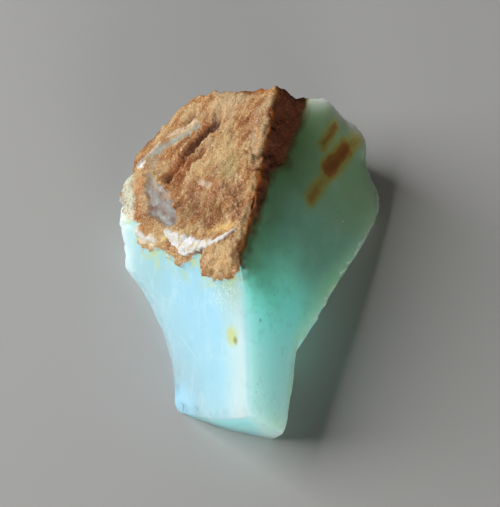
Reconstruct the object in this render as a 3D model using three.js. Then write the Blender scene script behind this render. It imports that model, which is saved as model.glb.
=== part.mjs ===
import * as THREE from "three";
import { mergeVertices } from "three/addons/utils/BufferGeometryUtils.js";
import { ImprovedNoise } from "three/addons/math/ImprovedNoise.js";

// A rough chunk of blue opal, just as it broke: a three-sided wedge of opal that narrows towards
// the viewer, with a wedge of brown host rock grown on over its upper left. It is one stone, and
// it lies on its flat underside. Millimetres, +Z up, +X right, +Y away from the narrow end.

// The heart is the point inside the stone that every break is measured from.
const HEART = new THREE.Vector3(0.4, 2, 6);
// The starting ball is drawn out to about the stone's half sizes, so its triangles stay even.
const DRAWN_OUT = new THREE.Vector3(12, 17, 8);
const BALL_DETAIL = 21;
// A point of the ball this near an edge of the stone moves onto it. The ball's spacing is 0.05.
const EDGE_PULL = 0.022;
// Higher is crisper: at 80 an edge 10 mm from the heart loses about 0.1 mm.
const CRISPNESS = 80;

// A break is one fracture face. Bearing is the way it faces in plan, from +X towards +Y, and lift
// is how far it looks up from level, both in degrees. Out is its distance from the heart. Bow is
// the radius of its curve, where 0 is flat, a positive one is domed and a negative one is hollow.
function makeBreak(bearing, lift, out, bow = 0) {
  const turn = THREE.MathUtils.degToRad(bearing);
  const rise = THREE.MathUtils.degToRad(lift);
  const normal = new THREE.Vector3(
    Math.cos(turn) * Math.cos(rise),
    Math.sin(turn) * Math.cos(rise),
    Math.sin(rise),
  );
  return { normal, out, bow };
}

// The innermost side of the stone counts in each direction. Where a side has two breaks, the
// outermost of the two counts, so that they meet in a hollow.
const SIDES = {
  rindFace: [makeBreak(173.8, 54.8, 6.8)],
  flank: [makeBreak(343.6, 42.9, 4.9, 308)],
  blueFace: [makeBreak(210, 31.9, 7, -60)],
  nearEnd: [makeBreak(248.1, 0.5, 17.3, 40)],
  waist: [makeBreak(206.7, -15, 12.05, -20)],
  leftUnderside: [makeBreak(170, -28, 12.8)],
  backLeft: [makeBreak(123.8, -6, 15.3)],
  back: [makeBreak(75, 0, 12.75), makeBreak(121.4, 4, 8.8)],
  backRight: [makeBreak(83.7, -4, 14.4)],
  rightCorner: [makeBreak(65, -8, 15.45)],
  rightEnd: [makeBreak(33.2, -12, 15)],
  rightRim: [makeBreak(4.4, -12, 13.6)],
  rightEdge: [makeBreak(328.2, -14, 8.9), makeBreak(355.5, -16, 4.65)],
};
const UNDERSIDE = makeBreak(0, -90, HEART.z);

// How far from the heart a straight line in this direction meets the break, or Infinity.
function reachOfBreak({ normal, out, bow }, direction) {
  const along = normal.dot(direction);
  if (bow === 0) return along > 0 ? out / along : Infinity;
  const middle = (out - bow) * along;
  const square = middle ** 2 + bow ** 2 - (out - bow) ** 2;
  if (square < 0) return Infinity;
  if (bow > 0) return middle + Math.sqrt(square);
  return middle > 0 ? middle - Math.sqrt(square) : Infinity;
}

function outermostBreak(side, direction) {
  const reaches = side.map((one) => ({ one, reach: reachOfBreak(one, direction) }));
  return reaches.reduce((best, next) => (next.reach > best.reach ? next : best));
}

function reachOfSides(direction) {
  let sum = 0;
  for (const side of Object.values(SIDES)) {
    sum += outermostBreak(side, direction).reach ** -CRISPNESS;
  }
  return sum ** (-1 / CRISPNESS);
}

// The plane that touches the break where this direction meets it, as its normal over its distance.
function touchingPlane({ one, reach }, direction) {
  const hit = direction.clone().multiplyScalar(reach);
  const normal = one.normal.clone();
  if (one.bow !== 0) normal.multiplyScalar(one.bow - one.out).add(hit);
  return normal.divideScalar(normal.dot(hit));
}

// Pulls a point of the ball onto the edge between the two innermost sides, if that edge is near,
// so that the edge runs along triangles instead of zigzagging across them.
function pullToEdge(ballPoint) {
  const direction = ballPoint.clone().multiply(DRAWN_OUT).normalize();
  const sides = [...Object.values(SIDES), [UNDERSIDE]];
  const found = sides.map((side) => outermostBreak(side, direction));
  found.sort((a, b) => a.reach - b.reach);
  if (!Number.isFinite(found[1].reach)) return;
  const across = touchingPlane(found[0], direction).sub(touchingPlane(found[1], direction));
  across.multiply(DRAWN_OUT).normalize();
  const gap = across.dot(ballPoint);
  if (Math.abs(gap) < EDGE_PULL) ballPoint.addScaledVector(across, -gap).normalize();
}

// The rind starts along a slightly bulging line in plan and covers the face beyond it. Its own
// relief fades in across that line, and fades out towards the flank.
const RIND_EDGE = { x: -6.35, y: -0.25, bearing: 49.3, halfLength: 6.6, bulge: 0.5 };
const EDGE_FADE = { start: -0.3, end: 0.4 };
const FLANK_FADE = { start: 0.1, end: 1.2 };
// The lip is highest up to its crest, and is gone where it ends, measured from the same line.
const LIP = { height: 0.45, crest: 1, end: 4 };
// The rind's bedding runs at 45 degrees in plan. Across is measured square to it, along beside it.
const GROOVES = [
  { across: 11.7, start: -0.8, end: 8, depth: 0.9, halfWidth: 0.85 },
  { across: 10.4, start: -0.6, end: 4.8, depth: 0.5, halfWidth: 0.65 },
  { across: 9.3, start: 5.4, end: 7.8, depth: 0.4, halfWidth: 0.55 },
];
// A groove has a narrow flat floor, and both its ends rise over this length.
const GROOVE_FLOOR = 0.2;
const GROOVE_RISE = 1.5;
// The ledges wander by a share of their spacing, in waves of this size.
const LEDGE = { spacing: 1.6, height: 0.3, wander: 0.5, waves: 3 };
// Whole ledges that are added before a remainder is taken, so that none is below 0.
const LEDGES_BEFORE = 40;
const RIND_LUMPS = [
  { size: 1.7, height: 0.22 },
  { size: 0.9, height: 0.1 },
];
// The opal's own faces swell and sink a little, as glassy fractures do.
const SWELL = { size: 5, height: 0.14 };

// The noise is the same on both sides of 0, so the stone is moved clear of it.
const NOISE_SHIFT = 7;
const noise = new ImprovedNoise();
const { smoothstep } = THREE.MathUtils;

function lumpsAt({ x, y, z }, { size, height }) {
  const place = [x, y, z].map((value) => value / size + NOISE_SHIFT);
  return height * noise.noise(...place);
}

// How deep the point lies under a break.
function depthUnder({ normal, out, bow }, point) {
  const place = point.clone().sub(HEART);
  if (bow === 0) return out - place.dot(normal);
  return bow - Math.sign(bow) * place.addScaledVector(normal, bow - out).length();
}

// How far the point lies beyond the rind's starting line.
function distanceIntoRind(point) {
  const bearing = THREE.MathUtils.degToRad(RIND_EDGE.bearing);
  const dx = point.x - RIND_EDGE.x;
  const dy = point.y - RIND_EDGE.y;
  const beyond = dx * Math.cos(bearing) + dy * Math.sin(bearing);
  const beside = (dy * Math.cos(bearing) - dx * Math.sin(bearing)) / RIND_EDGE.halfLength;
  return beyond + RIND_EDGE.bulge * (1 - beside ** 2);
}

function grooveDepthAt(across, along) {
  let depth = 0;
  for (const groove of GROOVES) {
    const side = 1 - smoothstep(Math.abs(across - groove.across), GROOVE_FLOOR, groove.halfWidth);
    const inside = smoothstep(along, groove.start, groove.start + GROOVE_RISE);
    const end = 1 - smoothstep(along, groove.end - GROOVE_RISE, groove.end);
    depth += groove.depth * side * inside * end;
  }
  return depth;
}

// Height of the rind's own surface over the plain break: a lip, ledges, grooves and lumps.
function rindHeightAt(point) {
  const inland = distanceIntoRind(point);
  const cover = smoothstep(inland, EDGE_FADE.start, EDGE_FADE.end);
  const away = smoothstep(depthUnder(SIDES.flank[0], point), FLANK_FADE.start, FLANK_FADE.end);
  if (cover * away === 0) return 0;
  const across = (point.y - point.x) / Math.SQRT2;
  const along = (point.y + point.x) / Math.SQRT2;
  const wave = noise.noise(along / LEDGE.waves, across / LEDGE.waves, 0.5);
  const ledge = ((across / LEDGE.spacing + wave * LEDGE.wander + LEDGES_BEFORE) % 1) - 0.5;
  let height = LIP.height * (1 - smoothstep(inland, LIP.crest, LIP.end));
  height += LEDGE.height * ledge - grooveDepthAt(across, along);
  for (const lump of RIND_LUMPS) height += lumpsAt(point, lump);
  return height * cover * away;
}

// A bite is a ball-shaped chip out of an edge.
function makeBite(x, y, z, radius) {
  return { middle: new THREE.Vector3(x, y, z).sub(HEART), radius };
}

// A row of scallops along the thin right edge, and a few single nicks.
const EDGE_START = new THREE.Vector3(12.2, 4.7, 1.7);
const EDGE_END = new THREE.Vector3(4.7, -8.2, 5);
const EDGE_BITES = 8;
const BITE_DEPTH = 0.35;
// The scallops differ: their radius swings about the middle one by a turn from each to the next.
const BITE_RADIUS = { middle: 1.3, swing: 0.4, turn: 2.4 };

function makeEdgeBites() {
  const bites = [];
  for (let i = 0; i < EDGE_BITES; i++) {
    const radius = BITE_RADIUS.middle + BITE_RADIUS.swing * Math.sin(i * BITE_RADIUS.turn);
    const middle = EDGE_START.clone().lerp(EDGE_END, i / (EDGE_BITES - 1));
    middle.addScaledVector(SIDES.rightEdge[0].normal, radius - BITE_DEPTH);
    bites.push(makeBite(middle.x, middle.y, middle.z, radius));
  }
  return bites;
}

const BITES = [
  ...makeEdgeBites(),
  makeBite(-8.1, -11.9, 0.6, 1.1),
  makeBite(10.1, 15.3, 8.9, 1.1),
  makeBite(-10.6, -3.6, 5.4, 1.1),
];

function reachOfBite({ middle, radius }, direction) {
  const along = middle.dot(direction);
  const square = along ** 2 - middle.lengthSq() + radius ** 2;
  return square > 0 && along > 0 ? along - Math.sqrt(square) : Infinity;
}

// How far the skin is from the heart in this direction.
function reachOfStone(direction) {
  const plain = reachOfSides(direction);
  const point = direction.clone().multiplyScalar(plain).add(HEART);
  const worked = plain + rindHeightAt(point) + lumpsAt(point, SWELL);
  const bitten = Math.min(worked, ...BITES.map((bite) => reachOfBite(bite, direction)));
  return direction.z < 0 ? Math.min(bitten, -HEART.z / direction.z) : bitten;
}

function makeBall() {
  const ball = new THREE.IcosahedronGeometry(1, BALL_DETAIL);
  ball.deleteAttribute("normal");
  ball.deleteAttribute("uv");
  return mergeVertices(ball, 1e-5);
}

function makeStone() {
  const skin = makeBall();
  const place = skin.getAttribute("position");
  const point = new THREE.Vector3();
  for (let i = 0; i < place.count; i++) {
    point.fromBufferAttribute(place, i);
    pullToEdge(point);
    point.multiply(DRAWN_OUT).normalize();
    point.multiplyScalar(reachOfStone(point)).add(HEART);
    place.setXYZ(i, point.x, point.y, point.z);
  }
  skin.computeBoundingBox();
  const middle = skin.boundingBox.getCenter(new THREE.Vector3());
  skin.translate(-middle.x, -middle.y, -skin.boundingBox.min.z);
  skin.computeVertexNormals();
  return skin;
}

const stone = new THREE.Mesh(
  makeStone(),
  new THREE.MeshStandardMaterial({ color: 0x8fd0cf, roughness: 0.4, metalness: 0 }),
);
stone.name = "opal";

const specimen = new THREE.Group();
specimen.add(stone);
export default specimen;
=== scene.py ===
import math

import bmesh
import bpy
import numpy as np
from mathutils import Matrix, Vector, noise


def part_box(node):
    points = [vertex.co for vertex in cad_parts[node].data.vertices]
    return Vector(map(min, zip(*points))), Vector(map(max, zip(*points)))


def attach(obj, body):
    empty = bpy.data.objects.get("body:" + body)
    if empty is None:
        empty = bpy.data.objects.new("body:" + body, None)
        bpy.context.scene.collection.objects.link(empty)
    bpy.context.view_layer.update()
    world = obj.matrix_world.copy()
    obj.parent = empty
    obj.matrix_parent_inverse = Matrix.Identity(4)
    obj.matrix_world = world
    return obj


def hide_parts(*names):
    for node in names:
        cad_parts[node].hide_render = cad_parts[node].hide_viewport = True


# A rough chunk of blue opal with a wedge of brown host rock grown on over its upper left, lying on
# a plain pale floor. The stone's own sizes are in millimetres, and Blender's are in metres.
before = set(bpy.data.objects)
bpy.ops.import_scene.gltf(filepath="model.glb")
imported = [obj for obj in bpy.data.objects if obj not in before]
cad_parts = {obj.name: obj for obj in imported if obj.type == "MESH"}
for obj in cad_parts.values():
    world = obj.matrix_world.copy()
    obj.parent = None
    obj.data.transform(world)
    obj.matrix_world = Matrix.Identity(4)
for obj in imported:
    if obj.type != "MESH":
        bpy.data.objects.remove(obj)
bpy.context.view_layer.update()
MM = 0.001

# The stone's fracture faces, as in the solid. Each is measured from the heart: the bearing it
# faces in plan, its lift above level, both in degrees, its distance, and the radius of its curve.
HEART = np.array([0.4, 2.0, 6.0])
DRAWN_OUT = np.array([12.0, 17.0, 8.0])
CRISPNESS = 80
FAR = 1e6
TINY = 1e-9


def make_break(bearing, lift, out, bow=0.0):
    turn, rise = math.radians(bearing), math.radians(lift)
    level = math.cos(rise)
    normal = np.array([math.cos(turn) * level, math.sin(turn) * level, math.sin(rise)])
    return normal, out, bow


RIND_FACE = make_break(173.8, 54.8, 6.8)
FLANK = make_break(343.6, 42.9, 4.9, 308)
BLUE_FACE = make_break(210, 31.9, 7, -60)
UNDERSIDE = make_break(0, -90, HEART[2])
SIDES = [
    [RIND_FACE],
    [FLANK],
    [BLUE_FACE],
    [make_break(248.1, 0.5, 17.3, 40)],
    [make_break(206.7, -15, 12.05, -20)],
    [make_break(170, -28, 12.8)],
    [make_break(123.8, -6, 15.3)],
    [make_break(75, 0, 12.75), make_break(121.4, 4, 8.8)],
    [make_break(83.7, -4, 14.4)],
    [make_break(65, -8, 15.45)],
    [make_break(33.2, -12, 15)],
    [make_break(4.4, -12, 13.6)],
    [make_break(328.2, -14, 8.9), make_break(355.5, -16, 4.65)],
]


def unit(vectors):
    return vectors / np.linalg.norm(vectors, axis=-1, keepdims=True)


def ease(values, low, high):
    """A smooth step from 0 at low to 1 at high."""
    share = np.clip((values - low) / (high - low), 0, 1)
    return share * share * (3 - 2 * share)


def reach_of_break(one, ways):
    """How far from the heart each way meets the fracture face. A positive bow is domed."""
    normal, out, bow = one
    along = ways @ normal
    if bow == 0:
        return np.where(along > 0, out / np.maximum(along, TINY), FAR)
    middle = (out - bow) * along
    square = middle**2 + bow**2 - (out - bow) ** 2
    root = np.sqrt(np.maximum(square, 0))
    if bow > 0:
        return np.where(square > 0, middle + root, FAR)
    return np.where((square > 0) & (middle > 0), middle - root, FAR)


def reach_of_side(side, ways):
    """Where a side has two faces the outer one counts, so that they meet in a hollow."""
    return np.max([reach_of_break(one, ways) for one in side], axis=0)


def plane_touching(side, ways):
    """The plane that touches the side where each way meets it, as its normal over its distance."""
    planes, best = np.zeros(ways.shape), np.zeros(len(ways))
    for one in side:
        normal, out, bow = one
        reach = reach_of_break(one, ways)
        hit = ways * reach[:, None]
        facing = np.broadcast_to(normal, hit.shape) if bow == 0 else normal * (bow - out) + hit
        outer = (reach > best) & (reach < FAR)
        plane = facing[outer] / np.sum(facing[outer] * hit[outer], axis=1)[:, None]
        planes[outer], best[outer] = plane, reach[outer]
    return planes


def pull_to_edges(ball, pull):
    """Moves each point of the ball that is near an edge of the stone onto it."""
    ways = unit(ball * DRAWN_OUT)
    sides = [*SIDES, [UNDERSIDE]]
    reaches = np.stack([reach_of_side(side, ways) for side in sides])
    planes = np.stack([plane_touching(side, ways) for side in sides])
    first, second = np.argsort(reaches, axis=0)[:2]
    row = np.arange(len(ball))
    across = unit((planes[first, row] - planes[second, row]) * DRAWN_OUT)
    gap = np.sum(across * ball, axis=1)
    near = (np.abs(gap) < pull) & (reaches[second, row] < FAR)
    return unit(np.where(near[:, None], ball - across * gap[:, None], ball))


def depth_under(one, points):
    """How deep each point lies under a face."""
    normal, out, bow = one
    if bow == 0:
        return out - (points - HEART) @ normal
    away = np.linalg.norm(points - HEART + normal * (bow - out), axis=1)
    return bow - math.copysign(1, bow) * away


# Moves the noise away from the middle of its own pattern.
NOISE_SHIFT = 7


def lumps(points, size, height=1.0, seed=0):
    """Soft lumps of about this size, from -height to height."""
    spots = (points / size + NOISE_SHIFT + seed).tolist()
    return height * np.array([noise.noise(spot) for spot in spots])


def grains(points, size, height, seed=0):
    """Rounded grains with creases between them, from -height to height."""
    spots = (points / size + NOISE_SHIFT + seed).tolist()
    return height * (1 - 2 * np.array([noise.voronoi(spot)[0][0] for spot in spots]))


# The rind starts along a slightly bulging line in plan and covers the face beyond it.
RIND_EDGE = np.array([-6.35, -0.25])
RIND_BEARING = math.radians(49.3)
RIND_HALF_LENGTH = 6.6
RIND_BULGE = 0.5
# The rind starts this thick, grows by this much for each millimetre, and has a step far beyond.
RIND_START = 0.4
RIND_WEDGE = 0.13
RIND_STEP = 1.3
RIND_STEP_START, RIND_STEP_END = 10.0, 13.5
# Bays and tongues in the starting line: where they are in plan, their radius and how far they go.
RIND_NOOKS = [
    ((-5.1, -1.1), 0.9, -0.75),
    ((-10.3, 1.9), 1.4, 0.75),
    ((-12.4, 6.9), 1.5, -0.9),
    ((-1.0, -3.8), 0.6, -0.5),
    ((-3.6, -3.1), 0.8, 0.25),
    ((-6.9, -0.7), 0.7, 0.2),
]
LIP_HEIGHT = 0.45
LIP_WIDTH = 4.0
# The rind's bedding runs at 45 degrees in plan. Across is measured square to it, along beside it.
GROOVES = [
    {"across": 12.1, "start": -1.2, "end": 8.2, "depth": 1.15, "steep": 0.5, "gentle": 1.25},
    {"across": 10.6, "start": -0.6, "end": 4.8, "depth": 0.6, "steep": 0.4, "gentle": 0.9},
    {"across": 9.3, "start": 5.4, "end": 7.8, "depth": 0.45, "steep": 0.4, "gentle": 0.6},
    {"across": 13.0, "start": 2.0, "end": 8.5, "depth": 0.3, "steep": 0.3, "gentle": 0.5},
]
# The bedding's ledges rise slowly up to this share of their spacing and then drop.
LEDGE_SPACING = 1.6
LEDGE_HEIGHT = 0.22
LEDGE_CREST = 0.82
LEDGE_DROP = 1.1
LEDGE_MIDDLE = 0.4
LEDGES_BEFORE = 40
# Hollows and knobs in the rind: where they are in plan, their radius and their height.
KNOBS = [
    ((-3.3, 1.1), 1.3, -0.5),
    ((-1.4, 6.6), 1.8, 0.4),
    ((-5.2, 2.6), 2.0, -0.45),
    ((-3.2, 4.6), 1.2, 0.3),
    ((-6.6, 6.0), 1.5, 0.3),
    ((-11.3, 8.6), 1.2, 0.25),
    ((-3.0, -2.2), 1.5, 0.25),
    ((-7.0, 10.8), 1.6, 0.3),
    ((1.6, 15.5), 2.0, -0.7),
]
# A seam of white silica crosses the rind near its edge, and wisps of it run on to the left.
SEAM_ROUTE = [(-7.9, 2.2), (-7.0, 1.2), (-5.6, 0.0), (-3.5, -0.45), (-1.7, 0.1)]
SEAM_HALF_WIDTHS = [0.12, 0.4, 0.5, 0.24, 0.1]
WISP_ROUTE = [(-11.5, 3.9), (-10.1, 2.7), (-8.9, 1.9), (-7.6, 1.9)]
# Glassy grey chalcedony shows through the rind as a long window and as a thin streak above it.
WINDOW_ROUTE = [(-10.1, 9.2), (-9.7, 7.6), (-9.1, 6.4), (-8.5, 4.9), (-7.8, 3.3)]
WINDOW_HALF_WIDTHS = [0.2, 0.5, 1.0, 1.1, 0.7]
STREAK_ROUTE = [(-11.3, 11.0), (-9.3, 11.9), (-7.8, 12.3), (-5.3, 13.3)]
STREAK_HALF_WIDTHS = [0.15, 0.5, 0.4, 0.1]


def distance_to_route(points, route, widths=None):
    """How far each point is in plan from a route of straight stretches, less its half width."""
    widths = widths or [0] * len(route)
    nearest = np.full(len(points), FAR)
    for i in range(len(route) - 1):
        start, end = np.array(route[i]), np.array(route[i + 1])
        run = end - start
        share = np.clip((points[:, :2] - start) @ run / (run @ run), 0, 1)
        away = np.linalg.norm(points[:, :2] - start - share[:, None] * run, axis=1)
        away -= widths[i] + share * (widths[i + 1] - widths[i])
        nearest = np.minimum(nearest, away)
    return nearest


def nearness(points, place, radius):
    """1 near a place in plan, falling to 0 beyond the radius."""
    away = np.linalg.norm(points[:, :2] - np.array(place), axis=1)
    return 1 - ease(away, 0.3 * radius, 1.5 * radius)


def distance_into_rind(points):
    """How far each point lies beyond the rind's ragged starting line, in plan."""
    dx, dy = points[:, 0] - RIND_EDGE[0], points[:, 1] - RIND_EDGE[1]
    beyond = dx * math.cos(RIND_BEARING) + dy * math.sin(RIND_BEARING)
    beside = (dy * math.cos(RIND_BEARING) - dx * math.sin(RIND_BEARING)) / RIND_HALF_LENGTH
    inland = beyond + RIND_BULGE * (1 - beside**2)
    for place, radius, reach in RIND_NOOKS:
        inland += reach * nearness(points, place, radius)
    ragged = lumps(points, 1.7, 0.35, 3) + lumps(points, 0.7, 0.3, 5) + lumps(points, 0.3, 0.07, 6)
    return inland + ragged * (1 - ease(np.abs(inland), 1.5, 3))


def rind_thickness(inland):
    start = RIND_START * ease(inland, 0, 1)
    return start + RIND_WEDGE * inland + RIND_STEP * ease(inland, RIND_STEP_START, RIND_STEP_END)


def groove_depth(across, along):
    """The grooves have a steep wall on their upper left and a gentle one on the other side."""
    depth = np.zeros(len(across))
    for groove in GROOVES:
        away = across - groove["across"]
        wall = (1 - ease(away, 0.15, groove["steep"])) * (1 - ease(-away, 0.05, groove["gentle"]))
        inside = ease(along, groove["start"], groove["start"] + 1.5)
        end = 1 - ease(along, groove["end"] - 2, groove["end"])
        depth += groove["depth"] * wall * inside * end
    return depth


def rind_relief(points, inland, glass, seam):
    """Height of the rind's own surface over the plain face, its fine part, and its grooves' depth."""
    across = (points[:, 1] - points[:, 0]) / math.sqrt(2)
    along = (points[:, 1] + points[:, 0]) / math.sqrt(2)
    bedding = np.stack([across, along * 0.35, depth_under(RIND_FACE, points)], axis=1)
    wobble = lumps(points, 2.4, 0.9) + lumps(bedding, 0.9, 0.3) + lumps(points, 0.4, 0.12)
    ledge = (across / LEDGE_SPACING + wobble + LEDGES_BEFORE) % 1
    ledge = ledge - LEDGE_DROP * ease(ledge, LEDGE_CREST, 1.0) - LEDGE_MIDDLE
    broad = LIP_HEIGHT * (1 - ease(inland, 1, LIP_WIDTH))
    for place, radius, height in KNOBS:
        broad = broad + height * nearness(points, place, radius)
    ragged = lumps(points, 1.5, 0.3, 9) + lumps(points, 0.6, 0.22, 10) + lumps(points, 0.25, 0.1, 13)
    groove = groove_depth(across + ragged, along + 2 * ragged)
    coarse = LEDGE_HEIGHT * ledge + lumps(points, 1.9, 0.4, 1) + lumps(bedding, 0.8, 0.3, 2)
    fine = grains(points, 0.7, 0.12) + grains(points, 0.35, 0.07, 4) + lumps(points, 0.2, 0.06, 8)
    calm = 1 - 0.8 * np.maximum(glass, 0.5 * seam)
    height = broad - groove + (coarse + fine) * calm - 0.3 * glass + 0.2 * seam
    return height, 0.8 * fine + 0.6 * coarse, groove


# Ball-shaped chips: a row of them along the right edge, and single nicks with their radius.
EDGE_START = np.array([12.2, 4.7, 1.7])
EDGE_END = np.array([4.7, -8.2, 5.0])
EDGE_BITES = 8
BITE_DEPTH = 0.5
BITE_RADIUS = {"middle": 1.3, "swing": 0.4, "turn": 2.4}
NICKS = [
    ((-7.62, -11.4, 1.2), 0.8),
    ((10.1, 15.3, 8.9), 1.1),
    ((-10.6, -3.6, 5.4), 1.1),
]


def make_bites():
    bites = [(np.array(place) - HEART, radius) for place, radius in NICKS]
    outward = SIDES[-1][0][0]
    for i in range(EDGE_BITES):
        radius = BITE_RADIUS["middle"] + BITE_RADIUS["swing"] * math.sin(i * BITE_RADIUS["turn"])
        place = EDGE_START + (EDGE_END - EDGE_START) * i / (EDGE_BITES - 1)
        bites.append((place + outward * (radius - BITE_DEPTH) - HEART, radius))
    return bites


def reach_of_bite(middle, radius, ways):
    along = ways @ middle
    square = along**2 - middle @ middle + radius**2
    return np.where((square > 0) & (along > 0), along - np.sqrt(np.maximum(square, 0)), FAR)


def edge_chips(points, crease, rind):
    """Small flakes lost along the low edges of the opal. The ridge along the top has none."""
    along_edge = 1 - ease(crease, 0.1, 0.7)
    low = 1 - ease(points[:, 2], 5.5, 8)
    flakes = np.maximum(lumps(points, 1.1, 1, 11) - 0.1, 0)
    flakes += np.maximum(lumps(points, 0.5, 0.5, 12), 0)
    return 0.9 * flakes * along_edge * np.maximum(low, ease(rind, 0, 0.3))


# How wide each kind of edge is rounded. The ridges are those between the top faces.
RIDGE_ROUNDING = 3.4
RIND_RIDGE_ROUNDING = 0.7
END_ROUNDING = 0.8
EDGE_ROUNDING = 0.3
# In SIDES the three top faces come first, the flank second among them, and the near end follows.
FLANK_SIDE = 1
TOP_FACES = 3
NEAR_END = 3
# Where the plain faces swell: the place in plan, the radius and the height. The flank swells near
# its back, and the lower sides jut out to a small horn at their far right corner.
BACK_SWELLING = ((4.2, 15.0), 3.0, 1.1)
HORN = ((10.5, 13.7), 1.4, 0.9)


def rounding_loss(crease, first, second, rind):
    """How much of the stone each rounded edge has lost. The ridge along the top is the roundest."""
    on_ridge = np.maximum(first, second) < TOP_FACES
    radius = np.full(len(crease), EDGE_ROUNDING)
    radius[(first == NEAR_END) | (second == NEAR_END)] = END_ROUNDING
    ridge = RIDGE_ROUNDING + (RIND_RIDGE_ROUNDING - RIDGE_ROUNDING) * ease(rind, -0.5, 0.1)
    radius = np.where(on_ridge, ridge, radius)
    return radius / 4 * np.maximum(1 - crease / radius, 0) ** 2


def find_glass(points):
    """Where the rind's two patches of chalcedony are, as ragged shares from 0 to 1."""
    ragged = lumps(points, 1.1, 0.35, 16) + lumps(points, 0.4, 0.15, 17)
    window = distance_to_route(points, WINDOW_ROUTE, WINDOW_HALF_WIDTHS) + ragged
    streak = distance_to_route(points, STREAK_ROUTE, STREAK_HALF_WIDTHS) + ragged * 0.5
    return 1 - ease(np.minimum(window, streak), -0.12, 0.15)


def find_seam(points):
    """Where the white seam and its broken wisps are."""
    ragged = lumps(points, 0.9, 0.3, 18) + lumps(points, 0.35, 0.2, 19)
    seam = 1 - ease(distance_to_route(points, SEAM_ROUTE, SEAM_HALF_WIDTHS) + ragged, -0.1, 0.12)
    wisps = ease(lumps(points, 0.7, 1, 15), -0.1, 0.25)
    wisps = wisps * (1 - ease(distance_to_route(points, WISP_ROUTE) + ragged, 0.1, 0.3))
    return np.maximum(seam, wisps)


def swell_sides(reaches, points):
    """Adds the swellings to the reaches. The flank is lumpy where the rind meets the ridge."""
    in_rind = ease(distance_into_rind(points), -0.2, 1.0)
    in_rind *= 1 - ease(depth_under(RIND_FACE, points), 1.5, 3)
    reaches[FLANK_SIDE] += (lumps(points, 1.6, 0.4, 31) + lumps(points, 0.6, 0.22, 32)) * in_rind
    place, radius, height = BACK_SWELLING
    reaches[FLANK_SIDE] += height * nearness(points, place, radius)
    place, radius, height = HORN
    reaches[NEAR_END + 1 :] += height * nearness(points, place, radius)


def broad_swell(points, first):
    """The whole stone is faintly uneven, and its lower sides more so."""
    swell = lumps(points, 5, 0.14) + lumps(points, 1.7, 0.025, 21)
    swell += (lumps(points, 2.4, 0.25, 33) + lumps(points, 0.9, 0.06, 34)) * (first > NEAR_END)
    return swell


def rind_knobs(points):
    """The uneven surface of the rind where it shows down the stone's sides."""
    knobs = lumps(points, 1.7, 0.3, 22) + lumps(points, 0.7, 0.14, 26)
    return knobs + grains(points, 0.5, 0.04, 23)


def find_top(top_depth):
    """1 on the rind's face and the blue face, falling to 0 just under them."""
    return 1 - ease(top_depth, 0.1, 0.6)


def find_marks(points, crease):
    """What lies at each point, by name, then the rind's relief there and how far it counts."""
    inland = distance_into_rind(points)
    top = np.maximum(np.minimum(depth_under(RIND_FACE, points), depth_under(BLUE_FACE, points)), 0)
    flank = depth_under(FLANK, points)
    ragged = lumps(points, 1.4, 0.5, 14) + lumps(points, 0.5, 0.2, 24)
    rind = rind_thickness(inland) - top + ragged * ease(top, 0, 0.8)
    on_top = find_top(top)
    seam = find_seam(points) * on_top
    glass = find_glass(points) * on_top * (1 - seam)
    relief, fine, groove = rind_relief(points, inland, glass, seam)
    cover = ease(inland, -0.12, 0.22) * ease(flank, 0.05, 0.9) * on_top
    marks = {
        "rind": rind,
        "inland": inland,
        "top_depth": top,
        "flank_depth": flank,
        "crease": crease,
        "seam": seam,
        "glass": glass,
        "fine_relief": fine * cover,
        "groove": groove * cover,
    }
    return marks, relief, cover


def survey(ball):
    """The stone's skin along each way from its heart, and what lies there, by name."""
    ways = unit(ball * DRAWN_OUT)
    row = np.arange(len(ball))
    reaches = np.stack([reach_of_side(side, ways) for side in SIDES])
    swell_sides(reaches, HEART + ways * np.min(reaches, axis=0)[:, None])
    first, second = np.argsort(reaches, axis=0)[:2]
    nearest = reaches[first, row]
    gap = reaches[second, row] - nearest
    plain = nearest * np.sum((reaches / nearest) ** -CRISPNESS, axis=0) ** (-1 / CRISPNESS)
    points = HEART + ways * plain[:, None]
    to_floor = np.where(ways[:, 2] < 0, -HEART[2] / np.minimum(ways[:, 2], -TINY), FAR)
    crease = np.minimum(gap, np.abs(to_floor - plain))
    marks, relief, cover = find_marks(points, crease)

    rind = marks["rind"]
    knobs = rind_knobs(points) * ease(rind, 0, 0.4) * (1 - cover)
    worked = plain + broad_swell(points, first) + relief * cover + knobs
    worked -= rounding_loss(gap, first, second, rind)
    worked -= edge_chips(points, crease, rind * (1 - find_top(marks["top_depth"])))
    for middle, radius in make_bites():
        worked = np.minimum(worked, reach_of_bite(middle, radius, ways))
    return HEART + ways * np.minimum(worked, to_floor)[:, None], marks


# The ball's spacing is 0.017, and half that where the rind is. A point moves onto an edge as near
# as the pull, but never by more than this share of the shortest line to the points beside it.
BALL_CUTS = 7
EDGE_PULL = 0.0075
EDGE_PULL_SHARE = 0.45
RIND_ZONE = -0.35


def ball_points(bm):
    return np.array([vertex.co for vertex in bm.verts])


def make_ball():
    """A ball of even triangles, with finer ones where the rind will be."""
    bm = bmesh.new()
    bmesh.ops.create_icosphere(bm, subdivisions=BALL_CUTS, radius=1)
    ways = unit(ball_points(bm) * DRAWN_OUT)
    reach = np.min([reach_of_side(side, ways) for side in SIDES], axis=0)
    points = HEART + ways * reach[:, None]
    top = np.minimum(depth_under(RIND_FACE, points), depth_under(BLUE_FACE, points))
    in_zone = rind_thickness(distance_into_rind(points)) - top > RIND_ZONE
    edges = [edge for edge in bm.edges if all(in_zone[vertex.index] for vertex in edge.verts)]
    bmesh.ops.subdivide_edges(bm, edges=edges, cuts=1, use_grid_fill=True)
    bmesh.ops.triangulate(bm, faces=bm.faces[:])
    return bm


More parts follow.
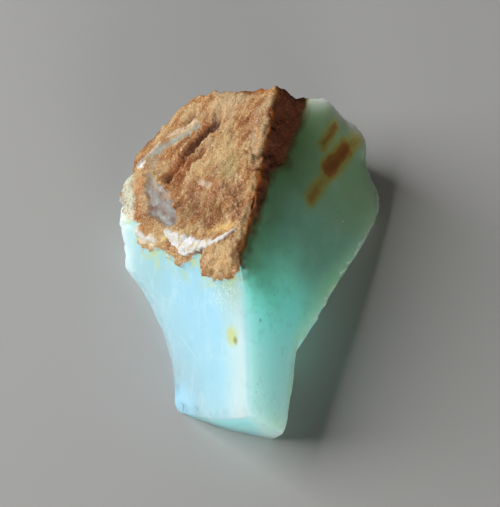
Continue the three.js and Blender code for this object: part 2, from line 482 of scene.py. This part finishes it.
def make_stone():
    bm = make_ball()
    bm.verts.ensure_lookup_table()
    ball = unit(ball_points(bm))
    shortest = [min(edge.calc_length() for edge in vertex.link_edges) for vertex in bm.verts]
    ball = pull_to_edges(ball, np.minimum(EDGE_PULL, EDGE_PULL_SHARE * np.array(shortest)))
    skin, marks = survey(ball)
    low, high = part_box("opal")
    middle = np.array([(low.x + high.x) / 2, (low.y + high.y) / 2, low.z])
    skin_middle = (skin.min(axis=0) + skin.max(axis=0)) / 2
    skin_middle[2] = skin[:, 2].min()
    skin = (skin - skin_middle) * MM + middle
    for vertex, place in zip(bm.verts, skin):
        vertex.co = place
    for face in bm.faces:
        face.smooth = True
    bmesh.ops.recalc_face_normals(bm, faces=bm.faces[:])
    mesh = bpy.data.meshes.new("opal_stone")
    bm.to_mesh(mesh)
    bm.free()
    for name, values in marks.items():
        mesh.attributes.new(name, "FLOAT", "POINT").data.foreach_set("value", values.astype(np.float32))
    stone = bpy.data.objects.new("opal_stone", mesh)
    bpy.context.scene.collection.objects.link(stone)
    return stone


class Value:
    """A socket in a material. Python's operators add Math nodes."""

    def __init__(self, bench, socket):
        self.bench, self.socket = bench, socket

    def __add__(self, other):
        return self.bench.maths("ADD", self, other)

    def __sub__(self, other):
        return self.bench.maths("SUBTRACT", self, other)

    def __rsub__(self, other):
        return self.bench.maths("SUBTRACT", other, self)

    def __mul__(self, other):
        return self.bench.maths("MULTIPLY", self, other)


class Bench:
    """Adds the nodes of one material."""

    def __init__(self, name):
        self.material = bpy.data.materials.new(name)
        self.material.use_nodes = True
        self.tree = self.material.node_tree
        self.tree.nodes.clear()

    def node(self, kind, settings=None, inputs=None, output=0):
        made = self.tree.nodes.new(kind)
        for name, value in (settings or {}).items():
            if name == "stops":
                self.set_stops(made.color_ramp, value)
            else:
                setattr(made, name, value)
        for name, value in (inputs or {}).items():
            if isinstance(value, Value):
                self.tree.links.new(value.socket, made.inputs[name])
            else:
                made.inputs[name].default_value = value
        return Value(self, made.outputs[output]) if made.outputs else None

    def set_stops(self, ramp, stops):
        while len(ramp.elements) < len(stops):
            ramp.elements.new(0.5)
        for element, (position, colour) in zip(ramp.elements, stops):
            element.position, element.color = position, colour

    def maths(self, operation, first, second, clamp=False):
        settings = {"operation": operation, "use_clamp": clamp}
        return self.node("ShaderNodeMath", settings, {0: first, 1: second})

    def vectors(self, operation, first, second, output="Vector"):
        return self.node("ShaderNodeVectorMath", {"operation": operation}, {0: first, 1: second}, output)

    def scaled(self, vector, scale):
        return self.node("ShaderNodeVectorMath", {"operation": "SCALE"}, {0: vector, "Scale": scale})

    def step(self, value, low, high):
        """A smooth step from 0 at low to 1 at high, or the other way round where low is higher."""
        ends = {"Value": value, "From Min": low, "From Max": high}
        return self.node("ShaderNodeMapRange", {"interpolation_type": "SMOOTHSTEP"}, ends)

    def mark(self, name):
        return self.node("ShaderNodeAttribute", {"attribute_name": name}, output="Fac")

    def place(self):
        """The place on the stone, in millimetres."""
        return self.scaled(self.node("ShaderNodeTexCoord", output="Object"), 1 / MM)

    def coordinate(self, place, axis):
        """The place along the axis X, Y or Z."""
        return self.node("ShaderNodeSeparateXYZ", None, {0: place}, axis)

    def drawn_out(self, place, turn, stretch):
        """The place with its pattern drawn out along axes that are turned about the vertical."""
        inputs = {"Vector": place, "Rotation": (0, 0, math.radians(turn)), "Scale": stretch}
        return self.node("ShaderNodeMapping", {"vector_type": "TEXTURE"}, inputs)

    def cloud(self, place, size, detail=3.0, seed=0.0, roughness=0.55):
        """Noise from 0 to 1 with features of about this size in millimetres."""
        inputs = {"Vector": place, "W": seed, "Scale": 1 / size}
        inputs |= {"Detail": detail, "Roughness": roughness}
        return self.node("ShaderNodeTexNoise", {"noise_dimensions": "4D"}, inputs)

    def cells(self, place, size, output="Distance"):
        """Cells of about this size: how far the place is from a cell's middle, or the cell's colour."""
        return self.node("ShaderNodeTexVoronoi", None, {"Vector": place, "Scale": 1 / size}, output)

    def distance(self, place, spot, squash=(1, 1, 1)):
        """How far the place is from a spot, with each axis stretched by squash."""
        offset = self.vectors("MULTIPLY", self.vectors("SUBTRACT", place, spot), squash)
        return self.node("ShaderNodeVectorMath", {"operation": "LENGTH"}, {0: offset}, "Value")

    def distance_to_line(self, place, start, end):
        """How far the place is from a straight line between two spots."""
        run = Vector(end) - Vector(start)
        offset = self.vectors("SUBTRACT", place, start)
        along = self.vectors("DOT_PRODUCT", offset, run / run.length_squared, "Value")
        share = self.maths("ADD", along, 0.0, clamp=True)
        return self.vectors("DISTANCE", offset, self.scaled(run, share), "Value")

    def mix(self, share, first, second):
        """Mixes two colours: first where share is 0, second where it is 1."""
        settings = {"data_type": "RGBA", "clamp_factor": True}
        return self.node("ShaderNodeMix", settings, {0: share, 6: first, 7: second}, output=2)

    def ramp(self, value, stops):
        return self.node("ShaderNodeValToRGB", {"stops": stops}, {"Fac": value})


def linear(channel):
    share = channel / 255
    return share / 12.92 if share <= 0.04045 else ((share + 0.055) / 1.055) ** 2.4


def paint(red, green, blue):
    """A colour as the eye names it, from 0 to 255, for Blender."""
    return (linear(red), linear(green), linear(blue), 1.0)


# The opal's colours.
SKY_BLUE = paint(161, 210, 231)
NEAR_AQUA = paint(150, 230, 236)
PALE_BLUE = paint(192, 228, 236)
MILK = paint(200, 228, 224)
GREY_MINT = paint(154, 190, 166)
MINT = paint(160, 200, 202)
TEAL = paint(120, 172, 150)
SEA_GREEN = paint(150, 250, 234)
LIGHT_AQUA = paint(176, 252, 236)
YELLOW_GREEN = paint(150, 214, 150)
GREY_GREEN = paint(130, 164, 128)
DUSKY_OLIVE = paint(106, 118, 86)
DULL_TEAL = paint(96, 148, 140)
DARK_TEAL = paint(60, 96, 84)
STREAK_BLUE = paint(206, 230, 238)
SCRATCH_WHITE = paint(226, 242, 246)
GLINT_WHITE = paint(236, 246, 244)
SUGAR_WHITE = paint(236, 246, 236)
BRUISE_WHITE = paint(214, 236, 222)
IRON_BROWN = paint(132, 74, 14)
DEEP_IRON = paint(96, 46, 12)
OLIVE = paint(150, 142, 50)
DARK_HONEY = paint(134, 124, 44)
MOSS_YELLOW = paint(196, 206, 128)
STAIN_AND_SHADE_MOSS = paint(78, 108, 66)
DEEP_OLIVE = paint(64, 62, 24)

# Iron stains on the flank: start, end, radius, and how strong they are.
STAINS = [
    ((9.8, 11.6, 7.0), (7.9, 8.9, 8.1), 1.7, 1.0),
    ((8.8, 13.4, 8.6), (7.4, 11.0, 9.3), 1.25, 1.0),
    ((11.3, 13.6, 6.1), (9.6, 11.2, 7.2), 1.5, 0.7),
    ((8.4, 9.4, 7.8), (5.9, 5.3, 8.9), 1.4, 0.62),
]
# Small dark specks in the opal, and fine scratches on its blue face.
SPECKS = [
    ((2.19, -4.98, 9.32), 0.09),
    ((0.86, -7.67, 9.75), 0.12),
    ((-0.45, -6.76, 11.53), 0.14),
    ((0.45, -13.93, 7.74), 0.09),
    ((0.8, -14.5, 7.2), 0.07),
    ((0.6, -13.2, 7.9), 0.07),
]
SCRATCHES = [
    ((-6.71, -6.83, 3.43), (-5.28, -9.19, 3.9)),
    ((-6.0, -3.6, 6.0), (-5.3, -5.6, 5.6)),
    ((-4.25, -7.0, 6.1), (-4.2, -7.5, 5.95)),
]
# The yellow inclusion and its dark part, the sugary patch, the milky corner and the mossy patch.
INCLUSION = (-1.75, -8.75, 8.7)
INCLUSION_DARK = (-1.4, -9.25, 8.8)
SUGARY = (-2.7, -4.9, 9.9)
LOW_CORNER = (-6.9, -12.9, 0.7)
MOSSY = (-8.8, -0.2, 5.4)


def lit_face_blue(bench, along, drift):
    """The lit left face, sky blue at the narrow end and mint at the back, and aqua low at the end. Its
    colour is partly the opal's own and partly painted light.
    """
    low = bench.step(bench.mark("top_depth"), 0.2, 1.0)
    blue = bench.mix(bench.step(along + drift * 8, -7, 4), SKY_BLUE, MINT)
    return bench.mix(low * bench.step(along, -9, -11.5), blue, NEAR_AQUA)


def shaded_flank_green(bench, across, along, drift):
    """The shaded flank, partly in the opal's own colour and partly in painted light: light aqua at the
    narrow end as painted glow, then teal and grey green, and dusky at the back as painted shade.
    """
    green = bench.mix(bench.step(along + drift * 5, -15, -4), LIGHT_AQUA, SEA_GREEN)
    green = bench.mix(bench.step(along + across * 0.5 + drift * 5, -5, 5), green, TEAL)
    green = bench.mix(bench.step(along + across * 0.4 + drift * 5, 3, 12), green, GREY_GREEN)
    return bench.mix(bench.step(along + drift * 4, 11.5, 15) * 0.85, green, DUSKY_OLIVE)


def opal_zones(bench, place):
    """The opal's broad colour, partly its own and partly painted light and shade: blue on the lit face
    and green on the shaded flank, paler beside the ridge and yellower at thin edges.
    """
    across, along = bench.coordinate(place, "X"), bench.coordinate(place, "Y")
    drift = bench.cloud(place, 6, 2, 1) - 0.5
    depth, top = bench.mark("flank_depth"), bench.mark("top_depth")
    flank = depth + drift * 0.6
    blue, green = lit_face_blue(bench, along, drift), shaded_flank_green(bench, across, along, drift)
    # Painted light and shade: the lit face takes the lighter blue and the shaded flank the darker green.
    colour = bench.mix(bench.step(flank - top * 0.7, -0.9, 1.0), green, blue)
    pale = bench.step(flank, 4.8, 1.2) * bench.step(flank, -0.2, 1.0) * bench.step(top, 0.8, 0.2)
    colour = bench.mix(pale * bench.step(along, -10, -4) * 0.95, colour, GREY_MINT)
    colour = bench.mix(pale * bench.step(along, -4, -10) * 0.75, colour, MILK)
    thin = bench.step(bench.mark("crease"), 2.6, 0.2) * bench.step(depth, 0.9, 0.2)
    thin = thin * bench.step(top, 1.5, 3.5) * bench.step(along, 4, -2)
    return bench.mix(thin * 0.45, colour, YELLOW_GREEN)


def opal_colour(bench, place, rind):
    colour = opal_zones(bench, place)
    milk = bench.cloud(place, 2.2, 5, 2, 0.6)
    streaks = bench.cloud(bench.drawn_out(place, 80, (3, 0.5, 1)), 1.2, 3, 3)
    on_blue = bench.step(bench.mark("flank_depth"), 0.2, 1.0)
    colour = bench.mix(bench.step(milk, 0.5, 0.75) * (on_blue * 0.3 + 0.1), colour, PALE_BLUE)
    mottle = bench.cloud(place, 1.1, 5, 36, 0.65)
    colour = bench.mix(bench.step(mottle, 0.5, 0.3) * (0.2 - on_blue * 0.12), colour, DULL_TEAL)
    # Painted glints: tiny white flecks in the milkier parts stand for small highlights.
    painted_glint = bench.step(bench.cells(place, 1.3), 0.07, 0.03) * bench.step(milk, 0.42, 0.55)
    colour = bench.mix(painted_glint * 0.7, colour, GLINT_WHITE)
    colour = bench.mix(bench.step(streaks, 0.52, 0.75) * on_blue * 0.35, colour, STREAK_BLUE)
    colour = stain_with_iron(bench, place, colour)
    colour = stain_by_rind(bench, place, rind, colour)
    return mark_opal(bench, place, colour)


def stain_with_iron(bench, place, colour):
    """The stains are brown where they are strong, with an olive fringe."""
    wander = (bench.cloud(bench.drawn_out(place, 55, (2.6, 0.8, 1.5)), 0.9, 5, 5, 0.6) - 0.5) * 1.4
    iron = 0.0
    for start, end, radius, strength in STAINS:
        away = bench.distance_to_line(place, start, end) + wander
        iron = bench.maths("MAXIMUM", iron, bench.step(away, radius * 1.25, -0.1) * strength)
    colour = bench.mix(bench.step(iron, 0.05, 0.45) * 0.85, colour, OLIVE)
    colour = bench.mix(bench.step(iron, 0.35, 0.7) * 0.9, colour, IRON_BROWN)
    return bench.mix(bench.step(iron, 0.7, 0.95) * 0.6, colour, DEEP_IRON)


def stain_by_rind(bench, place, rind, colour):
    """Iron from the rind stains the opal beside it. Down the flank the opal darkens towards the rind
    above it, partly as stain and partly as painted shade under the rind.
    """
    patchy = bench.step(bench.cloud(place, 1.2, 3, 7), 0.42, 0.62)
    on_top = bench.step(bench.mark("top_depth"), 0.4, 0.1)
    halo = bench.step(bench.mark("inland"), -1.5, -0.1) * patchy * on_top
    mossy = bench.step(bench.distance(place, MOSSY), 1.2, 0.2) * patchy
    colour = bench.mix(bench.maths("MAXIMUM", halo, mossy) * 0.65, colour, MOSS_YELLOW)
    beneath = (1 - on_top) * bench.step(bench.mark("inland"), -1.5, 3)
    # Partly painted shade: the opal under the rind on the flank is darker nearer the rind.
    colour = bench.mix(bench.step(rind, -6, 0) * beneath * 0.85, colour, STAIN_AND_SHADE_MOSS)
    return bench.mix(bench.step(rind, -0.9, 0.05) * beneath * 0.8, colour, DEEP_OLIVE)


def mark_opal(bench, place, colour):
    """The sugary patch below the rind, the inclusion, the scratches, the specks and the edges."""
    sugar = bench.step(bench.cloud(place, 0.22, 4, 29, 0.75), 0.46, 0.64)
    sugar = sugar * bench.step(bench.distance(place, SUGARY), 3.2, 0.8)
    colour = bench.mix(sugar * 0.5, colour, SUGAR_WHITE)
    wander = (bench.cloud(place, 0.7, 3, 8) - 0.5) * 0.7
    away = bench.distance(place, INCLUSION, (1.1, 0.75, 0.8)) + wander
    colour = bench.mix(bench.step(away, 1.1, 0.3) * 0.85, colour, MOSS_YELLOW)
    dark = bench.distance(place, INCLUSION_DARK, (1.3, 0.8, 1)) + wander * 0.5
    colour = bench.mix(bench.step(dark, 0.5, 0.1) * 0.8, colour, DARK_HONEY)
    for start, end in SCRATCHES:
        scratch = bench.step(bench.distance_to_line(place, start, end), 0.09, 0.03)
        colour = bench.mix(scratch * 0.3, colour, SCRATCH_WHITE)
    for spot, radius in SPECKS:
        away = bench.distance(place, spot, (1.6, 0.8, 0.8))
        colour = bench.mix(bench.step(away, radius * 1.3, radius * 0.6) * 0.65, colour, DARK_TEAL)
    return bruise_edges(bench, place, colour)


def bruise_edges(bench, place, colour):
    """The low edges are bruised white in patches, most of all along the flank."""
    along = bench.coordinate(place, "Y")
    patchy = bench.step(bench.cloud(place, 0.8, 2, 9), 0.35, 0.6) * bench.step(along, -14, -10)
    on_flank = bench.step(bench.mark("flank_depth"), 0.9, 0.2)
    low = bench.step(bench.mark("top_depth"), 0.3, 1.0)
    bruise = bench.step(bench.mark("crease"), 0.3, 0.02) * low
    return bench.mix(bruise * (patchy * 0.3 + on_flank * patchy * 0.3), colour, BRUISE_WHITE)


# The rind's colours.
TAN = paint(182, 148, 100)
ORANGE_BROWN = paint(158, 100, 52)
RED_BROWN = paint(110, 58, 28)
DARK_BROWN = paint(60, 28, 12)
BAND_BROWN = paint(104, 56, 32)
AMBER_GLOW_PAINT = paint(196, 110, 34)
CREAM = paint(226, 214, 188)
LIME_CREAM = paint(206, 216, 194)
BEACH = paint(202, 172, 124)
PALE_TAN = paint(200, 168, 120)
UMBER = paint(130, 74, 38)
DUST = paint(186, 164, 128)
GRIT_TAN = paint(224, 192, 144)
CREST_HIGHLIGHT_TAN = paint(214, 172, 112)
GROOVE_SHADE_BROWN = paint(132, 66, 20)
GROOVE_SHADE_DARK = paint(62, 26, 6)
CREAM_AND_GLINT_FLECK = paint(238, 214, 176)
SAND_PALE = paint(234, 198, 144)
SAND_DARK = paint(88, 46, 22)
BAND_DARK = paint(72, 36, 20)
BAND_PALE = paint(138, 82, 50)
BAND_OLIVE = paint(74, 62, 28)
# The chalcedony is olive in its streak. Its stripes and the seam's grit run through these colours.
GLASS_OLIVE = paint(138, 144, 124)
GLASS_STOPS = [
    (0.35, paint(112, 94, 88)),
    (0.5, paint(132, 128, 122)),
    (0.62, paint(142, 150, 150)),
    (0.75, paint(196, 194, 194)),
]
SEAM_STOPS = [
    (0.33, paint(200, 168, 112)),
    (0.42, paint(210, 202, 184)),
    (0.53, paint(212, 210, 208)),
    (0.72, paint(226, 226, 230)),
]


def rind_ground(bench, place):
    """The rind's browns: beds, broad pale and dark areas, dusty ones, and grit."""
    beds = bench.cloud(bench.drawn_out(place, 45, (3, 1, 4)), 1.1, 5, 11, 0.65)
    colour = bench.ramp(beds, [(0.3, RED_BROWN), (0.45, ORANGE_BROWN), (0.6, TAN), (0.75, BEACH)])
    broad = bench.cloud(place, 2.6, 3, 27, 0.6)
    colour = bench.mix(bench.step(broad, 0.5, 0.64) * 0.55, colour, PALE_TAN)
    colour = bench.mix(bench.step(broad, 0.5, 0.36) * 0.5, colour, UMBER)
    dusty = bench.cloud(place, 1.5, 4, 35, 0.65)
    colour = bench.mix(bench.step(dusty, 0.5, 0.62) * 0.5, colour, DUST)
    grit = bench.cloud(place, 0.42, 4, 12, 0.75)
    colour = bench.mix(bench.step(grit, 0.54, 0.74) * 0.6, colour, GRIT_TAN)
    return bench.mix(bench.step(grit, 0.46, 0.3) * 0.55, colour, DARK_BROWN)


def shade_relief(bench, colour):
    """Painted light and shade: the rind is pale on its grains as painted highlight, dark between them
    and darkest in the grooves as painted shade.
    """
    fine, groove = bench.mark("fine_relief"), bench.mark("groove")
    # Painted highlight on the grains and painted shade between them.
    colour = bench.mix(bench.step(fine, 0.12, 0.4) * 0.5, colour, CREST_HIGHLIGHT_TAN)
    colour = bench.mix(bench.step(fine, -0.08, -0.4) * 0.8, colour, DARK_BROWN)
    # Painted shade in the grooves, darkest at their bottoms.
    colour = bench.mix(bench.step(groove, 0.08, 0.3) * 0.7, colour, GROOVE_SHADE_BROWN)
    return bench.mix(bench.step(groove, 0.35, 0.8) * 0.9, colour, GROOVE_SHADE_DARK)


def scatter_sand(bench, place, colour):
    """Clustered flecks and finer sand. The pale flecks are partly cream grains and partly painted
    glints, and they are fewer in the grooves.
    """
    open_ground = 1 - bench.step(bench.mark("groove"), 0.1, 0.6) * 0.8
    clustered = bench.step(bench.cloud(place, 1.3, 3, 37, 0.6), 0.38, 0.6)
    flecks = bench.cloud(place, 0.24, 3, 30, 0.7)
    # Partly painted glints: the pale cream flecks.
    pale = bench.step(flecks, 0.53, 0.7) * open_ground * clustered
    colour = bench.mix(pale * 0.75, colour, CREAM_AND_GLINT_FLECK)
    colour = bench.mix(bench.step(flecks, 0.42, 0.32) * 0.6, colour, DARK_BROWN)
    sand = bench.cloud(place, 0.13, 2, 39, 0.6)
    colour = bench.mix(bench.step(sand, 0.52, 0.68) * open_ground * 0.4, colour, SAND_PALE)
    return bench.mix(bench.step(sand, 0.48, 0.32) * 0.4, colour, SAND_DARK)


def lay_veins(bench, place, colour):
    """The chalcedony shows through the rind here and there, and the white seam is broken."""
    clear = bench.cloud(bench.drawn_out(place, 110, (2.2, 0.8, 2)), 0.8, 4, 38, 0.65)
    clear = bench.step(clear, 0.33, 0.52) * 0.5 + 0.42
    colour = bench.mix(bench.mark("glass") * clear, colour, glass_colour(bench, place))
    broken = bench.step(bench.cloud(place, 0.5, 4, 26, 0.7), 0.3, 0.42)
    seam_colour = bench.ramp(bench.cloud(place, 0.4, 3, 15, 0.6), SEAM_STOPS)
    return bench.mix(bench.mark("seam") * broken, colour, seam_colour)


def rind_colour(bench, place, rind):
    colour = shade_relief(bench, rind_ground(bench, place))
    colour = rind_patches(bench, place, colour)
    colour = scatter_sand(bench, place, colour)
    colour = lay_veins(bench, place, colour)
    return dark_band(bench, place, rind, colour)


# Patches of another colour in the rind: where they start and end, their radius, how strong they
# are, and the colour. The round ones have no end.
RIND_PATCHES = [
    ((-5.6, 3.8, 9.6), None, 1.6, 0.5, paint(112, 64, 36)),
    ((-5.5, 5.6, 10.0), (-1.4, 3.8, 13.0), 1.2, 0.5, paint(150, 94, 64)),
    ((-3.7, 2.3, 11.2), None, 1.8, 0.6, paint(112, 62, 34)),
    ((-1.6, 1.9, 12.8), None, 1.4, 0.5, paint(128, 74, 42)),
    ((-7.0, 9.0, 8.6), None, 1.6, 0.45, paint(170, 92, 42)),
    ((-2.8, 14.1, 10.9), (-1.1, 14.7, 12.2), 1.5, 0.6, paint(190, 162, 124)),
    ((-9.8, 10.5, 6.4), None, 0.9, 0.6, paint(150, 138, 116)),
    ((0.7, 12.2, 13.7), (0.1, 7.0, 13.6), 0.7, 0.4, paint(166, 146, 116)),
    ((-1.8, 6.8, 12.3), None, 1.6, 0.7, paint(160, 142, 92)),
    ((-0.8, 6.9, 13.0), (-1.6, 5.2, 12.6), 0.35, 0.7, paint(66, 48, 22)),
    ((-3.3, -2.0, 11.8), (-1.8, -3.0, 12.6), 1.3, 0.6, paint(204, 170, 120)),
    ((-0.9, -1.2, 13.5), (-1.4, -4.0, 13.2), 0.3, 0.7, paint(104, 58, 18)),
    ((0.4, 10.4, 13.7), (0.8, 9.3, 13.9), 0.2, 0.65, paint(192, 134, 70)),
    ((0.8, 9.3, 13.9), (0.8, 8.3, 14.0), 0.16, 0.6, paint(192, 134, 70)),
    ((-4.8, 6.2, 10.4), (-3.7, 5.4, 10.9), 0.4, 0.55, paint(222, 206, 180)),
    ((-3.2, 7.3, 11.2), (-3.5, 6.5, 11.0), 0.2, 0.8, paint(240, 234, 220)),
    # Painted highlights: the two pale lines along the streak are partly glints on its crest, and the
    # near-white round spot at its left end is a painted highlight.
    ((-11.2, 10.9, 5.5), (-9.0, 12.5, 6.8), 0.2, 0.55, paint(226, 216, 196)),
    ((-8.4, 12.8, 7.2), (-5.6, 13.6, 9.0), 0.18, 0.5, paint(220, 206, 182)),
    ((-11.0, 10.6, 5.6), None, 0.5, 0.9, paint(242, 240, 234)),
    ((-11.0, 8.8, 5.9), (-10.8, 5.4, 6.3), 0.5, 0.65, paint(184, 122, 78)),
    ((-12.4, 9.4, 4.9), (-11.9, 5.3, 5.6), 0.75, 0.85, LIME_CREAM),
    ((-11.9, 5.3, 5.6), (-10.6, 2.6, 5.6), 0.6, 0.85, CREAM),
    ((-10.6, 2.6, 5.6), (-9.3, 1.4, 6.2), 0.4, 0.75, CREAM),
    ((-9.8, 8.9, 6.6), None, 0.5, 0.7, paint(128, 104, 40)),
    ((-4.7, 1.4, 11.0), (-2.2, 0.6, 12.5), 0.75, 0.8, paint(218, 184, 116)),
    ((-2.3, 0.5, 12.5), None, 0.35, 0.9, paint(236, 138, 48)),
    ((-8.6, 1.6, 7.4), (-6.6, 1.4, 9.4), 0.3, 0.6, paint(222, 196, 128)),
    ((-10.7, 7.0, 6.4), (-10.4, 5.6, 6.4), 0.6, 0.45, paint(190, 164, 126)),
    ((-7.7, 11.8, 7.8), (-5.7, 13.4, 9.1), 0.55, 0.65, paint(216, 188, 152)),
]


def rind_patches(bench, place, colour):
    wander = (bench.cloud(place, 0.8, 4, 13, 0.7) - 0.5) * 2.2
    speckle = bench.cloud(place, 0.35, 3, 25, 0.7)
    for start, end, radius, strength, patch in RIND_PATCHES:
        away = bench.distance_to_line(place, start, end) if end else bench.distance(place, start)
        away = away + wander * (0.2 + 0.7 * min(radius, 1))
        share = bench.step(away, radius * 1.3, radius * 0.4) * bench.step(speckle, 0.25, 0.5)
        colour = bench.mix(share * strength, colour, patch)
    return colour


def glass_colour(bench, place):
    """The chalcedony is striped, and olive in the streak towards the back."""
    stripes = bench.cloud(bench.drawn_out(place, 110, (2.5, 1, 2)), 0.7, 4, 14, 0.6)
    in_streak = bench.step(bench.coordinate(place, "Y"), 8.5, 10.0)
    return bench.mix(in_streak * 0.55, bench.ramp(stripes, GLASS_STOPS), GLASS_OLIVE)


def dark_band(bench, place, rind, colour):
    """Down the stone's sides the rind is dark and glassy, and along the ridge it is painted amber as a
    painted glow of light through the thin rind.
    """
    depth = bench.mark("top_depth")
    ragged = (bench.cloud(place, 1.0, 4, 16, 0.6) - 0.5) * 0.9
    mottle = bench.cloud(place, 0.9, 4, 17, 0.65)
    band = bench.ramp(mottle, [(0.3, BAND_DARK), (0.55, BAND_BROWN), (0.8, BAND_PALE)])
    patchy = bench.step(bench.cloud(place, 1.8, 2, 28), 0.36, 0.56)
    glow = bench.step(depth + ragged * 0.8, 0.95, 0.1) * patchy
    on_ridge = bench.step(bench.mark("flank_depth"), 3, 1)
    # Painted glow: amber along the ridge, where light would shine through the thin rind.
    band = bench.mix(glow * (on_ridge * 0.55 + 0.3), band, AMBER_GLOW_PAINT)
    band = bench.mix(bench.step(rind, 0.7, 0.0) * 0.7, band, BAND_OLIVE)
    return bench.mix(bench.step(depth + ragged * 0.4, 0.02, 0.42), colour, band)


# In millimetres: the heights of the bumps, and how far light is scattered inside the opal.
GRIT_HEIGHT = 0.14
RIPPLE_HEIGHT = 0.06
GLOW_REACH = 14.0
OPAL_IOR = 1.45
RIND_IOR = 1.5


def rind_bump(bench, place):
    """Grains too fine for the mesh. The chalcedony has few."""
    grit = bench.cloud(place, 0.22, 4, 18, 0.7) + bench.cells(place, 0.3) * 0.5
    height = grit * (1 - bench.mark("glass") * 0.8)
    inputs = {"Strength": 0.7, "Distance": GRIT_HEIGHT * MM, "Height": height}
    return bench.node("ShaderNodeBump", None, inputs)


def opal_bump(bench, place):
    """Faint ripples and fine scratches on the waxy opal."""
    ripple = bench.cloud(place, 0.9, 4, 19, 0.5) * 0.6
    scratch = bench.cloud(bench.drawn_out(place, 78, (4, 0.3, 1)), 0.8, 2, 20) * 0.4
    inputs = {"Strength": 0.25, "Distance": RIPPLE_HEIGHT * MM, "Height": ripple + scratch}
    return bench.node("ShaderNodeBump", None, inputs)


def opal_shader(bench, place, rind):
    waxy = {
        "Base Color": opal_colour(bench, place, rind),
        "Roughness": bench.cloud(place, 2.0, 3, 22) * 0.3 + 0.25,
        "IOR": OPAL_IOR,
        "Specular IOR Level": 0.35,
    }
    glow = {
        "Subsurface Weight": 1.0,
        "Subsurface Radius": (1.0, 1.0, 1.0),
        "Subsurface Scale": GLOW_REACH * MM,
        "Normal": opal_bump(bench, place),
    }
    walk = {"subsurface_method": "RANDOM_WALK"}
    glowing = bench.node("ShaderNodeBsdfPrincipled", walk, waxy | glow)
    # The thin corner by the floor is milky, so that less light is lost through it.
    milky = bench.node("ShaderNodeBsdfPrincipled", None, waxy)
    corner = bench.step(bench.distance(place, LOW_CORNER), 3.4, 0.8)
    return bench.node("ShaderNodeMixShader", None, {0: corner * 0.85, 1: glowing, 2: milky})


def rind_shader(bench, place, rind):
    sparkle = bench.step(bench.cells(place, 0.35, "Color"), 0.72, 0.8)
    rough = {
        "Base Color": rind_colour(bench, place, rind),
        "Roughness": 0.8 - sparkle * 0.45 - bench.mark("glass") * 0.35,
        "IOR": RIND_IOR,
        "Specular IOR Level": 0.22,
        "Normal": rind_bump(bench, place),
    }
    return bench.node("ShaderNodeBsdfPrincipled", None, rough)


def make_material():
    """The opal, and the rind over it. The line between them is sharp on top and soft at the sides."""
    bench = Bench("opal_and_rind")
    place = bench.place()
    rind = bench.mark("rind") + (bench.cloud(place, 0.5, 3, 21, 0.6) - 0.5) * 0.12
    on_top = bench.step(bench.mark("top_depth"), 0.4, 0.1)
    soft, sharp = bench.step(rind, -0.3, 0.25), bench.step(rind, -0.02, 0.06)
    share = soft + (sharp - soft) * on_top
    opal, host = opal_shader(bench, place, rind), rind_shader(bench, place, rind)
    mixed = bench.node("ShaderNodeMixShader", None, {0: share, 1: opal, 2: host})
    bench.node("ShaderNodeOutputMaterial", None, {"Surface": mixed})
    return bench.material


# The floor is a plain pale sheet under the stone.
FLOOR_SIZE = 1.6
FLOOR_GREY = paint(173, 171, 168)


def make_floor():
    bm = bmesh.new()
    bmesh.ops.create_grid(bm, x_segments=1, y_segments=1, size=FLOOR_SIZE / 2)
    mesh = bpy.data.meshes.new("floor")
    bm.to_mesh(mesh)
    bm.free()
    floor = bpy.data.objects.new("floor", mesh)
    bpy.context.scene.collection.objects.link(floor)
    bench = Bench("pale_floor")
    inputs = {"Base Color": FLOOR_GREY, "Roughness": 0.6, "Specular IOR Level": 0.3}
    shader = bench.node("ShaderNodeBsdfPrincipled", None, inputs)
    bench.node("ShaderNodeOutputMaterial", None, {"Surface": shader})
    mesh.materials.append(bench.material)


# The camera looks down at the stone from its narrow end. The lengths on its image are in pixels.
CAMERA_AIM = Vector((-0.1, 3.5, 5.0)) * MM
CAMERA_ELEVATION = math.radians(65)
CAMERA_DISTANCE = 147 * MM
IMAGE_HEIGHT = 507
FOCAL_PIXELS = 1500
AIM_ABOVE_MIDDLE = 21.5
ROOM_COLOUR = (1.0, 0.97, 0.9, 1)
ROOM_STRENGTH = 0.015


def make_camera():
    camera = bpy.data.cameras.new("camera")
    camera.lens = camera.sensor_width * FOCAL_PIXELS / IMAGE_HEIGHT
    camera.shift_y = -AIM_ABOVE_MIDDLE / IMAGE_HEIGHT
    camera.clip_start = 0.01
    holder = bpy.data.objects.new("camera", camera)
    bpy.context.scene.collection.objects.link(holder)
    forward = Vector((0, math.cos(CAMERA_ELEVATION), -math.sin(CAMERA_ELEVATION)))
    holder.location = CAMERA_AIM - forward * CAMERA_DISTANCE
    holder.rotation_euler = forward.to_track_quat("-Z", "Y").to_euler()
    bpy.context.scene.camera = holder


def make_light(name, way, distance, size, power, colour):
    """A soft square light that faces the stone from the way given."""
    light = bpy.data.lights.new(name, "AREA")
    light.size = size
    light.energy = power
    light.color = colour
    holder = bpy.data.objects.new(name, light)
    bpy.context.scene.collection.objects.link(holder)
    way = Vector(way).normalized()
    holder.location = CAMERA_AIM + way * distance
    holder.rotation_euler = (-way).to_track_quat("-Z", "Y").to_euler()


def light_scene():
    cool, warm = (0.96, 0.98, 1.0), (1.0, 0.98, 0.94)
    make_light("key", (-0.80, 0.20, 0.50), distance=0.5, size=0.42, power=4.2, colour=cool)
    make_light("front", (0.30, -0.92, 0.09), distance=0.6, size=0.3, power=3.1, colour=warm)
    world = bpy.data.worlds.new("studio")
    world.use_nodes = True
    background = world.node_tree.nodes["Background"]
    background.inputs["Color"].default_value = ROOM_COLOUR
    background.inputs["Strength"].default_value = ROOM_STRENGTH
    bpy.context.scene.world = world
    bpy.context.scene.view_settings.view_transform = "Standard"


stone = make_stone()
stone.data.materials.append(make_material())
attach(stone, "root")
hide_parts("opal")
make_floor()
make_camera()
light_scene()
